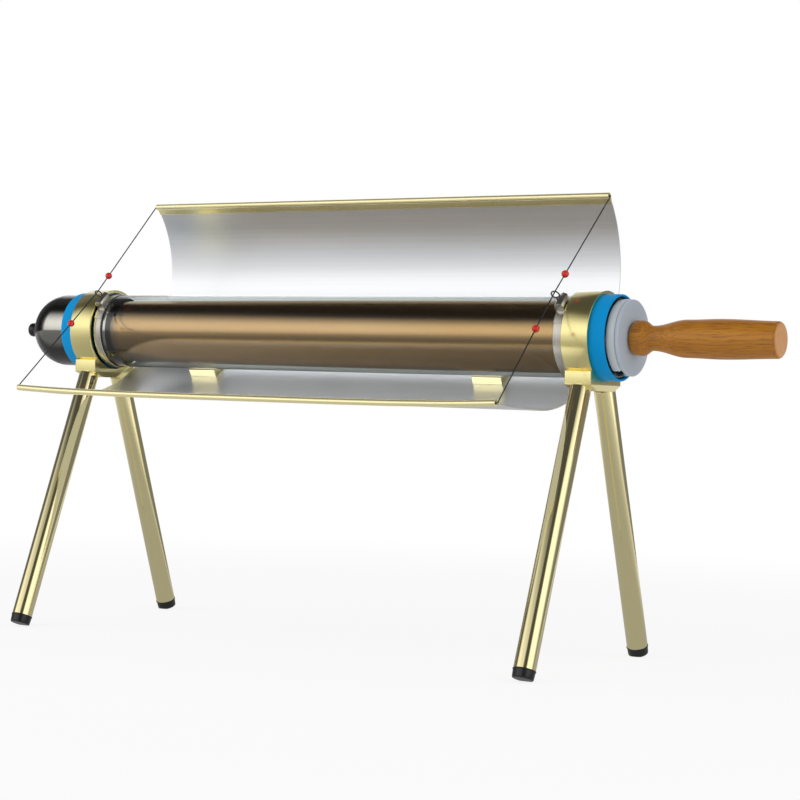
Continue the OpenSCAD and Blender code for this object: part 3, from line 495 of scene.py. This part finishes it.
# The four feet: black rubber plugs pushed into the legs up to a thin rim, and worn flat where
# they stand.
foot_rubber = rubber("moulded_foot_rubber", "#070707", "#111110", 0.34, 1200.0)
foot_plug_r, foot_plug, foot_rim_r, foot_rim, foot_end_r, foot_len = 7.85, 13.95, 9.8, 1.25, 9.0, 8.2
ground = -TO_ROW.translation.z * 1000
for row, side, r, s in LEGS:
    outline = eased([(LEG_LEN - foot_plug, 0, 0), (LEG_LEN - foot_plug, foot_plug_r, 0.6), (LEG_LEN + 0.05, foot_plug_r, 0),
                     (LEG_LEN + 0.05, foot_rim_r, 0.3), (LEG_LEN + foot_rim, foot_rim_r, 0.4), (LEG_LEN + foot_rim, LEG_R, 0),
                     (LEG_LEN + foot_len, foot_end_r, 1.2), (LEG_LEN + foot_len, 0, 0)])
    shape = spun(outline, down_leg(r, s), 72)
    cut = bmesh.ops.bisect_plane(shape, geom=shape.verts[:] + shape.edges[:] + shape.faces[:], dist=1e-4,
                                 plane_co=(0, 0, ground), plane_no=(0, 0, -1), clear_outer=True)
    rim = [e for e in cut["geom_cut"] if isinstance(e, bmesh.types.BMEdge)]
    bmesh.ops.contextual_create(shape, geom=rim)
    foot = made(f"{row}_{side}_foot_moulded", shape, [foot_rubber])
    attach(foot, "frame")
    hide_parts(f"{row}_{side}_foot")

# The mirror: one sheet of polished aluminium, 0.8 mm thick, bent along the tube in three
# easy curves. Its inside is a mirror, a little wavy as bent sheet is, and its back is as rolled.
mirror, tree = new_finish("polished_mirror_aluminium")
place = add(tree, "TexCoord").outputs["Object"]
along = add(tree, "Mapping", {"Vector": place, "Scale": (4, 500, 500)}).outputs[0]
line = add(tree, "TexNoise", {"Vector": along, "Scale": 1.0, "Detail": 4.0}).outputs[0]
tone = add(tree, "Mix", {0: line, 6: linear("#E3E5E8"), 7: linear("#F0F1F3")}, data_type="RGBA").outputs[2]
gloss = add(tree, "MapRange", {"Value": line, "To Min": 0.27, "To Max": 0.34}).outputs[0]
skin = add(tree, "BsdfPrincipled", {"Base Color": tone, "Metallic": 0.74, "Roughness": gloss})
add(tree, "OutputMaterial", {"Surface": skin.outputs[0]})
mill = steel("mill_finish_aluminium", "#D6D8DA", "#E4E5E7", 0.38, (6, 600, 600))

TROUGH = 500.0
SHEET_T, BEAD_R, FRONT_HANG = 0.8, 2.8, 3.0
# The section's three arcs: centre, radius and the angles they run between, from front to back.
FRONT, UNDER, BACK = ((-62.0, 647.0), 710.0), ((-62.0, 90.5), 153.5), ((-11.9612, 60.1954), 95.0)
FRONT_RIM = -90 - math.degrees(math.asin(81.5 / 710))
UNDER_TURN, BACK_RIM = -90 + 58.8, -90 + 58.8 + 76
gap_front, gap_back = (math.degrees((BEAD_R + 0.05) / r) for r in (FRONT[1], BACK[1]))


def sheet_line(offset):
    """The sheet's section, moved out from the mirror side by that much."""
    line = arc(FRONT[0], FRONT[1] + offset, FRONT_RIM + gap_front, -90, 26)
    line += arc(UNDER[0], UNDER[1] + offset, -90, UNDER_TURN, 50)[1:]
    return line + arc(BACK[0], BACK[1] + offset, UNDER_TURN, BACK_RIM - gap_back, 46)[1:]


def hung(x, y):
    """How far the sheet's front part hangs down, in mm: most at the front edge's middle."""
    front = max(0.0, (FRONT[0][0] - y) / 81.5)
    return FRONT_HANG * (1 - (2 * x / TROUGH) ** 4) * front * front


inside, outside = sheet_line(0), sheet_line(SHEET_T)
stations = 64
shape = bmesh.new()
rings = []
for i in range(stations + 1):
    x = -TROUGH / 2 + TROUGH * i / stations
    ring = []
    for line, way in ((inside, 1), (outside[::-1], -1)):
        for k, (y, z) in enumerate(line):
            at = k if way == 1 else len(line) - 1 - k
            calm = math.sin(math.pi * min(1, at / 12) / 2) * math.sin(math.pi * min(1, (len(line) - 1 - at) / 12) / 2)
            wave = 0.10 * calm * noise.noise(Vector((x / 120, at / 14, 3.7)))
            middle = Vector((inside[at][0] - outside[at][0], inside[at][1] - outside[at][1])).normalized()
            ring.append(shape.verts.new((x, y + middle.x * wave, z + middle.y * wave - hung(x, y))))
    rings.append(ring)
half_ring = len(inside)
for one, two in zip(rings, rings[1:]):
    for k in range(len(one)):
        n = (k + 1) % len(one)
        face = shape.faces.new((one[k], one[n], two[n], two[k]))
        face.material_index = 0 if k < half_ring - 1 else 1
for ring in (rings[0], rings[-1]):
    for k in range(half_ring - 1):
        shape.faces.new((ring[k], ring[k + 1], ring[-2 - k], ring[-1 - k])).material_index = 1
reflector = made("reflector_sheet_bent", shape, [mirror, mill], 30)
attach(reflector, "reflector")
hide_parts("reflector_sheet")

# The trims on the sheet's long edges: extruded aluminium, anodised pale gold, two lips that
# pinch the sheet beside a hollow round bead, in whose ends the cables are held.
trim_gold = anodised("gold_anodised_trim", "#EADB92", "#F6EAB2", 0.22, (8, 900, 900), metal=0.7)
bead_bore, lip_in, lip_out, lip_t, lip_gap = 1.7, 9.0, 6.0, 0.9, 0.05


def trim_section(centre, radius, rim, way):
    """Outline of a trim: t runs from the rim into the sheet, n towards the arc's centre."""
    def on(t, n):
        a = math.radians(rim) + way * t / radius
        return centre[0] + (radius - n) * math.cos(a), centre[1] + (radius - n) * math.sin(a)

    top, bottom = lip_gap + lip_t, -SHEET_T - lip_gap - lip_t
    start = math.degrees(math.asin(top / BEAD_R))
    end = 360 + math.degrees(math.asin(bottom / BEAD_R))
    line = arc((0, 0), BEAD_R, start, end, 30)
    line += [(t, bottom) for t in (3, 4, 5)] + arc((lip_out - lip_t / 2, bottom + lip_t / 2), lip_t / 2, -90, 90, 6)
    line += [(t, bottom + lip_t) for t in (5, 4, 3)]
    line += arc((0, 0), BEAD_R + 0.001, -math.degrees(math.asin((SHEET_T + lip_gap) / BEAD_R)), math.degrees(math.asin(lip_gap / BEAD_R)), 2)
    line += [(t, lip_gap) for t in (4, 5.5, 7, 8)] + arc((lip_in - lip_t / 2, lip_gap + lip_t / 2), lip_t / 2, -90, 90, 6)
    line += [(t, top) for t in (8, 7, 5.5, 4)]
    return [on(t, n) for t, n in line], [on(t, n) for t, n in arc((0, 0), bead_bore, 0, 345, 23)]


for name, (centre, radius), rim, way in (("front_trim", FRONT, FRONT_RIM, 1), ("rear_trim", BACK, BACK_RIM, -1)):
    shape = bar(trim_section(centre, radius, rim, way), -TROUGH / 2, TROUGH, 0.12)
    for i in range(1, stations):
        bmesh.ops.bisect_plane(shape, geom=shape.verts[:] + shape.edges[:] + shape.faces[:], dist=1e-5,
                               plane_co=(-TROUGH / 2 + TROUGH * i / stations, 0, 0), plane_no=(1, 0, 0))
    for vert in shape.verts:
        vert.co.z -= hung(vert.co.x, vert.co.y)
    trim = made(name + "_cut", shape, [trim_gold])
    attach(trim, "reflector")
    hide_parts(name)

# The two spacer blocks between tube and sheet: short cuts of anodised bar, hollowed below to
# the sheet's curve and flat on top, each held by two screws that come up through the sheet.
spacer_gold = anodised("cream_anodised_bar", "#F6E6A0", "#FAEEB0", 0.24, (15, 600, 600))
spacer_at, spacer_w, spacer_len, spacer_slope, spacer_x = -90 + 33.2, 17.0, 30.0, 12.0, 156.0
reach = math.degrees(spacer_w / 2 / UNDER[1])
low_line = arc(UNDER[0], UNDER[1], spacer_at - reach, spacer_at + reach, 10)
slope = math.radians(spacer_slope)
top_r = GLASS_R + 2.3


def on_top(y, z):
    """Where a line from the arc's centre through a foot of the block meets its flat top."""
    dy, dz = y - UNDER[0][0], z - UNDER[0][1]
    n = (-math.sin(slope), math.cos(slope))
    t = (-top_r - UNDER[0][0] * n[0] - UNDER[0][1] * n[1]) / (dy * n[0] + dz * n[1])
    return UNDER[0][0] + dy * t, UNDER[0][1] + dz * t


corners = [(*low_line[0], 0.3)] + [(y, z, 0) for y, z in low_line[1:-1]] + [(*low_line[-1], 0.3)]
corners += [(*on_top(*low_line[-1]), 0.6), (*on_top(*low_line[0]), 0.6)]
for side, sign in (("left", -1), ("right", 1)):
    shape = bar([eased(corners)], sign * spacer_x - spacer_len / 2, spacer_len, 0.3)
    spacer = made(side + "_spacer_cut", shape, [spacer_gold])
    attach(spacer, "reflector")
    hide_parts(side + "_spacer")
dress("spacer_screws", zinc)

# The two hose clamps: rolled stainless bands round the glass that carry the cables' hooks and
# let the trough turn by friction. A worm housing sits on a plate over each band.
stainless = steel("rolled_stainless", "#AAA79E", "#C6C2B8", 0.28, (900, 60, 60))
band_x, band_in, band_out, band_half = 248.25, 35.08, 35.88, 4.0
housing_at, plate_in, plate_out, housing_top = 137.0, 35.93, 36.73, 44.33
housing_half, housing_len, worm_r, worm_bore = 4.3, 11.0, 40.53, 2.58
for side, sign in (("left", -1), ("right", 1)):
    outline = eased([(-band_half, band_in, 0.15), (-band_half, band_out, 0.35), (band_half, band_out, 0.35), (band_half, band_in, 0.15)])
    band = made(side + "_band_rolled", spun(outline, Matrix.Translation((sign * band_x, 0, 0)), 144), [stainless])
    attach(band, "reflector")
    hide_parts(side + "_band")

# The worm housings are pressed from the same sheet, arched over the screw. The plate's
# stamped word is left off. The slotted screw turns in each housing.
def on_housing(sign, out):
    """A place on a band's housing: X along the tube, Y along the screw, Z away from the tube."""
    return (Matrix.Translation((sign * band_x, 0, 0)) @ Matrix.Rotation(math.radians(housing_at - 90), 4, "X")
            @ Matrix.Translation((0, 0, out)))


for side, sign in (("left", -1), ("right", 1)):
    strip = arc((0, 0), plate_out, housing_at - 14, housing_at + 26, 24) + arc((0, 0), plate_in, housing_at + 26, housing_at - 14, 24)
    shape = bar([strip], sign * band_x - band_half, 2 * band_half, 0.15)
    arch = eased([(-housing_half, plate_out - 0.4, 0), (housing_half, plate_out - 0.4, 0), (housing_half, housing_top, 3.1), (-housing_half, housing_top, 3.1)], 6)
    turn = Matrix.Rotation(math.radians(90), 4, "Z")
    block = bar([[(-x, z) for x, z in arch], arc((0, worm_r), worm_bore, 0, 345, 23)], -housing_len / 2, housing_len, 0.25)
    block.transform(on_housing(sign, 0) @ turn)
    spare = bpy.data.meshes.new("spare")
    block.to_mesh(spare)
    block.free()
    shape.from_mesh(spare)
    bpy.data.meshes.remove(spare)
    housing = made(side + "_housing_pressed", shape, [stainless])
    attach(housing, "reflector")
    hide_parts(side + "_housing")
    dress(side + "_screw", stainless)


# The hooks: one steel wire each, bent to an eye on a short stem, which the cable runs through.
# The eye closes on its stem, as a wire bent with round pliers does.
def wire(path, radius, lobes=1, pitch=8.0, sides=12):
    """A wire or rope swept along a path; with lobes it is laid from that many strands."""
    shape = bmesh.new()
    rings = []
    across = None
    gone = 0.0
    for i, here in enumerate(path):
        ahead_of = (path[min(i + 1, len(path) - 1)] - path[max(i - 1, 0)]).normalized()
        if across is None:
            across = ahead_of.orthogonal().normalized()
        across = (across - ahead_of * across.dot(ahead_of)).normalized()
        other = ahead_of.cross(across)
        gone += (here - path[i - 1]).length if i else 0
        twist = 2 * math.pi * gone / pitch
        ring = []
        for k in range(sides):
            a = 2 * math.pi * k / sides
            deep = 1.0 if lobes == 1 else 0.86 + 0.14 * abs(math.cos(lobes * a / 2))
            b = a + (twist if lobes > 1 else 0)
            ring.append(shape.verts.new(here + (across * math.cos(b) + other * math.sin(b)) * radius * deep))
        rings.append(ring)
    for one, two in zip(rings, rings[1:]):
        for k in range(sides):
            shape.faces.new((one[k], one[(k + 1) % sides], two[(k + 1) % sides], two[k]))
    shape.faces.new(rings[0])
    shape.faces.new(rings[-1])
    return shape


hook_wire = steel("bronzed_drawn_wire", "#4E473C", "#665E50", 0.3, (300, 300, 300))
eye_r, eye_mid, wire_r, eye_inset = 50.7, 3.55, 0.65, 2.0
for side, sign in (("left", -1), ("right", 1)):
    place = on_housing(sign, 0) @ Matrix.Translation((-sign * eye_inset, 0, 0))
    path = [place @ Vector((0, 0, housing_top - 0.6 + 0.5 * i)) for i in range(6)]
    path += [place @ Vector((eye_mid * math.sin(a), 0.25 - 0.5 * k / 44, eye_r - eye_mid * math.cos(a)))
             for k, a in ((k, math.radians(8 * k)) for k in range(0, 45))]
    hook = made(side + "_hook_bent", wire(path, wire_r), [hook_wire], 60)
    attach(hook, "reflector")
    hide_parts(side + "_hook")

# The cables: thin steel rope, one at each end, out of the rear bead, through the hook's eye
# and into the front bead. They are taut, so that they keep the sheet bent.
rope = steel("stranded_steel_wire", "#3A3B3E", "#606164", 0.35, (600, 600, 600))
cable_r, cable_out, cable_tail = 0.6, 1.4, 14.0
hook_at = Vector((246.25, -38.76, 36.15))
front_corner = Vector((TROUGH / 2 + cable_out, *arc(FRONT[0], FRONT[1], FRONT_RIM, 0, 1)[0]))
rear_corner = Vector((TROUGH / 2 + cable_out, *arc(BACK[0], BACK[1], BACK_RIM, 0, 1)[0]))


def pulled(points, bend, step=1.0):
    """A taut line through the points, bent over each with that radius."""
    line = [points[0]]
    for before, here, after in zip(points, points[1:], points[2:]):
        a, b = (before - here).normalized(), (after - here).normalized()
        p, q = here + a * bend, here + b * bend
        line += [p.lerp(here, t).lerp(here.lerp(q, t), t) for t in (i / 8 for i in range(9))]
    line.append(points[-1])
    path = [line[0]]
    for p, q in zip(line, line[1:]):
        count = max(1, round((q - p).length / step))
        path += [p.lerp(q, i / count) for i in range(1, count + 1)]
    return path


for side, sign in (("left", -1), ("right", 1)):
    tail = Vector((cable_out + cable_tail, 0, 0))
    points = [front_corner - tail, front_corner, hook_at, rear_corner, rear_corner - tail]
    path = [Vector((sign * p.x, p.y, p.z)) for p in pulled(points, 0.9)]
    cable = made(side + "_cable_laid", wire(path, cable_r, 6, 7.0, 24), [rope], 60)
    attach(cable, "reflector")
    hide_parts(side + "_cable")

# The four red beads on the cables: glossy moulded plastic balls, drilled for the cable, that
# keep it from running through the eye.
red, tree = new_finish("moulded_red_plastic")
place = add(tree, "TexCoord").outputs["Object"]
cloud = add(tree, "TexNoise", {"Vector": place, "Scale": 300.0, "Detail": 2.0}).outputs[0]
tone = add(tree, "Mix", {0: cloud, 6: linear("#CC1608"), 7: linear("#DC2010")}, data_type="RGBA").outputs[2]
skin = add(tree, "BsdfPrincipled", {"Base Color": tone, "Roughness": 0.18, "IOR": 1.5, "Coat Weight": 0.4, "Coat Roughness": 0.05})
add(tree, "OutputMaterial", {"Surface": skin.outputs[0]})
ball_r, ball_bore = 3.3, 0.65
shape = bmesh.new()
for sign in (-1, 1):
    for corner, distance in ((front_corner, 48.0), (rear_corner, 24.0)):
        way = (corner - hook_at).normalized()
        middle = hook_at + way * distance
        turn = Vector((1, 0, 0)).rotation_difference(way).to_matrix().to_4x4()
        place = Matrix.Diagonal((sign, 1, 1, 1)) @ Matrix.Translation(middle) @ turn
        edge = math.degrees(math.asin((ball_bore + 0.25) / ball_r))
        outline = arc((0, 0), ball_r, edge, 180 - edge, 24)
        outline += [(-ball_r * 0.955, ball_bore), (ball_r * 0.955, ball_bore)]
        ball = spun(outline, place, 40)
        spare = bpy.data.meshes.new("spare")
        ball.to_mesh(spare)
        ball.free()
        shape.from_mesh(spare)
        bpy.data.meshes.remove(spare)
beads = made("red_beads_moulded", shape, [red], 50)
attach(beads, "reflector")
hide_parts("red_beads")

# The stops crimped on the cable's ends, inside the hollow beads: brass, seen in the open ends.
brass = steel("crimped_brass", "#A8843C", "#C9A557", 0.3, (300, 300, 300))
dress("cable_stops", brass)


# The stopper: a soft plug of milky silicone that seals the mouth, with a flange that stays
# outside the glass and has a notch that lets steam out. A frosted disc stands in front of it.
def milky(name, colour, deep, rough, clearness, grain):
    """Milky or frosted plastic: light goes in and comes out softened."""
    material, tree = new_finish(name)
    place = add(tree, "TexCoord").outputs["Object"]
    cloud = add(tree, "TexNoise", {"Vector": place, "Scale": 40.0, "Detail": 3.0}).outputs[0]
    tone = add(tree, "Mix", {0: cloud, 6: linear(colour), 7: linear(deep)}, data_type="RGBA").outputs[2]
    fine = add(tree, "TexNoise", {"Vector": place, "Scale": grain, "Detail": 2.0}).outputs[0]
    gloss = add(tree, "MapRange", {"Value": cloud, "To Min": rough * 0.85, "To Max": rough * 1.15}).outputs[0]
    bump = add(tree, "Bump", {"Strength": 0.1, "Distance": 0.00008, "Height": fine}).outputs[0]
    skin = add(tree, "BsdfPrincipled", {"Base Color": tone, "Roughness": gloss, "IOR": 1.45, "Normal": bump,
                                        "Transmission Weight": clearness, "Subsurface Weight": 0.25,
                                        "Subsurface Radius": (0.004, 0.004, 0.005), "Subsurface Scale": 1.0})
    add(tree, "OutputMaterial", {"Surface": skin.outputs[0]})
    return material


milky_silicone = milky("milky_silicone", "#E6ECEF", "#DCE3E8", 0.25, 0.3, 900.0)
flange_x, flange_t, flange_r, plug_r, plug_x, bolt_r = 291.5, 8.3, 32.8, 27.32, 269.5, 3.05
outline = eased([(plug_x, bolt_r, 0), (plug_x, plug_r, 1.2), (flange_x, plug_r, 0), (flange_x, bolt_r, 0)])
shape = spun(outline, steps=128)
notch_at, notch_half, notch_top = math.radians(10), 10.0, 27.8
line = arc((0, 0), flange_r, -90 + math.degrees(math.asin(notch_half / flange_r)), 270 - math.degrees(math.asin(notch_half / flange_r)), 120)
corners = [(*line[0], 0.8)] + [(y, z, 0) for y, z in line[1:-1]] + [(*line[-1], 0.8), (-notch_half, -notch_top, 1.0), (notch_half, -notch_top, 1.0)]
flange = bar([eased(corners), arc((0, 0), bolt_r, 0, 345, 23)], flange_x, flange_t, 1.5, Matrix.Rotation(-notch_at, 4, "X"))
spare = bpy.data.meshes.new("spare")
flange.to_mesh(spare)
flange.free()
shape.from_mesh(spare)
bpy.data.meshes.remove(spare)
stopper = made("stopper_moulded", shape, [milky_silicone], 50)
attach(stopper, "tray")
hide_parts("stopper")

frosted = milky("frosted_polycarbonate", "#C9D3DE", "#BFCAD6", 0.4, 0.2, 1800.0)
disc_x, disc_t, disc_r = 299.8, 3.4, 32.6
outline = eased([(disc_x, bolt_r, 0), (disc_x, disc_r, 1.1), (disc_x + disc_t, disc_r, 1.1), (disc_x + disc_t, bolt_r, 0)])
disc = made("stopper_disc_cut", spun(outline, steps=128), [frosted], 50)
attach(disc, "tray")
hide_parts("stopper_disc")

# The handle: beech turned on a lathe and oiled, with a collar, a neck and a belly for the
# palm. The grain runs along it, and its sawn end is paler.
wood, tree = new_finish("oiled_turned_beech")
place = add(tree, "TexCoord").outputs["Object"]
handle_low, handle_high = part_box("handle")
heart = Vector((0.333, 0.008, -0.0015)) + tube_middle
about = add(tree, "Mapping", {"Vector": place, "Location": tuple(-heart)}).outputs[0]
drift = add(tree, "Mapping", {"Vector": about, "Scale": (7, 150, 150)}).outputs[0]
band_noise = add(tree, "TexNoise", {"Vector": drift, "Scale": 1.0, "Detail": 4.0, "Roughness": 0.55}).outputs[0]
growth = add(tree, "Mapping", {"Vector": about, "Scale": (4, 150, 150), "Rotation": (0.6, 0.03, 0)}).outputs[0]
ring_wave = add(tree, "TexWave", {"Vector": growth, "Scale": 0.9, "Distortion": 1.6, "Detail": 2.0, "Detail Scale": 0.8},
                wave_type="BANDS", bands_direction="Y").outputs["Fac"]
fleck_map = add(tree, "Mapping", {"Vector": about, "Scale": (70, 1100, 1100)}).outputs[0]
fleck_noise = add(tree, "TexNoise", {"Vector": fleck_map, "Scale": 1.0, "Detail": 2.0}).outputs[0]
fleck = add(tree, "MapRange", {"Value": fleck_noise, "From Min": 0.52, "From Max": 0.64}).outputs[0]
base = add(tree, "Mix", {0: band_noise, 6: linear("#8F5402"), 7: linear("#CE890E")}, data_type="RGBA").outputs[2]
late = add(tree, "MapRange", {"Value": ring_wave, "From Min": 0.5, "From Max": 1.0, "To Max": 0.28}).outputs[0]
ringed = add(tree, "Mix", {0: late, 6: base, 7: linear("#84450C")}, data_type="RGBA").outputs[2]
fleck_part = add(tree, "Math", {0: fleck, 1: 0.5}, operation="MULTIPLY").outputs[0]
flecked = add(tree, "Mix", {0: fleck_part, 6: ringed, 7: linear("#6A3404")}, data_type="RGBA").outputs[2]
lengthwise = add(tree, "SeparateXYZ", {"Vector": place}).outputs[0]
at_end = add(tree, "MapRange", {"Value": lengthwise, "From Min": handle_high.x - 0.0021, "From Max": handle_high.x - 0.0001},
             interpolation_type="SMOOTHSTEP").outputs[0]
end_tone = add(tree, "Mix", {0: band_noise, 6: linear("#D9A068"), 7: linear("#CC9058")}, data_type="RGBA").outputs[2]
grained = add(tree, "Mix", {0: at_end, 6: flecked, 7: end_tone}, data_type="RGBA").outputs[2]
gloss = add(tree, "MapRange", {"Value": band_noise, "To Min": 0.34, "To Max": 0.5}).outputs[0]
bump = add(tree, "Bump", {"Strength": 0.2, "Distance": 0.0002, "Height": fleck_noise}).outputs[0]
skin = add(tree, "BsdfPrincipled", {"Base Color": grained, "Roughness": gloss, "IOR": 1.5, "Normal": bump,
                                    "Coat Weight": 0.1, "Coat Roughness": 0.25})
add(tree, "OutputMaterial", {"Surface": skin.outputs[0]})

handle_x, handle_len, handle_round = 303.2, 131.0, 3.6
turned_to = [(0.0, 15.0), (9.0, 15.0), (18.0, 10.6), (49.0, 16.0), (80.0, 16.8), (handle_len, 15.4)]


def handle_radius(x):
    """Eases from one turned radius to the next, and rounds both ends."""
    for (x1, r1), (x2, r2) in zip(turned_to, turned_to[1:]):
        if x <= x2:
            r = r1 + (r2 - r1) * (1 - math.cos(math.pi * (x - x1) / (x2 - x1))) / 2
            break
    for end in (x, handle_len - x):
        if end < handle_round:
            r -= handle_round - math.sqrt(handle_round ** 2 - (handle_round - end) ** 2)
    return r


steps = [handle_round * (1 - math.cos(math.pi / 2 * i / 8)) for i in range(8)]
places = steps + [handle_round + (handle_len - 2 * handle_round) * i / 70 for i in range(71)] + [handle_len - s for s in steps[::-1]]
outline = [(handle_x + 38, 0), (handle_x + 38, bolt_r), (handle_x, bolt_r)] + [(handle_x + x, handle_radius(x)) for x in places] + [(handle_x + handle_len, 0)]
handle = made("handle_turned", spun(outline, steps=96), [wood], 50)
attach(handle, "tray")
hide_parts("handle")

# The bolt through stopper and handle, its nut, and the tray's rivets are zinc plated steel.
for node in ("handle_bolt", "bolt_nut", "tray_rivets"):
    dress(node, zinc)

# The cooking tray: half a pipe of bright stainless sheet, rolled along its length, with a
# low wall at its far end and a plate against the stopper.
tray_steel = steel("bright_stainless_sheet", "#B9BBBD", "#D0D2D4", 0.2, (5, 500, 500))
tray_x, tray_len, tray_r, tray_t = 268.3, 556.0, 27.1, 0.8
lip = math.degrees(0.4 / tray_r)
strip = arc((0, 0), tray_r, 180, 360, 60) + arc((0, 0), tray_r - tray_t, 360, 180, 60)
shape = bar([strip], tray_x - tray_len, tray_len, 0.12)
wall = [(y, z) for y, z in arc((0, 0), tray_r - 0.05, 180, 360, 48)]
end_wall = bar([wall], tray_x - tray_len, tray_t, 0.12)
spare = bpy.data.meshes.new("spare")
end_wall.to_mesh(spare)
end_wall.free()
shape.from_mesh(spare)
bpy.data.meshes.remove(spare)
tray = made("cooking_tray_rolled", shape, [tray_steel])
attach(tray, "tray")
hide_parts("cooking_tray")
dress("tray_plate", tray_steel)
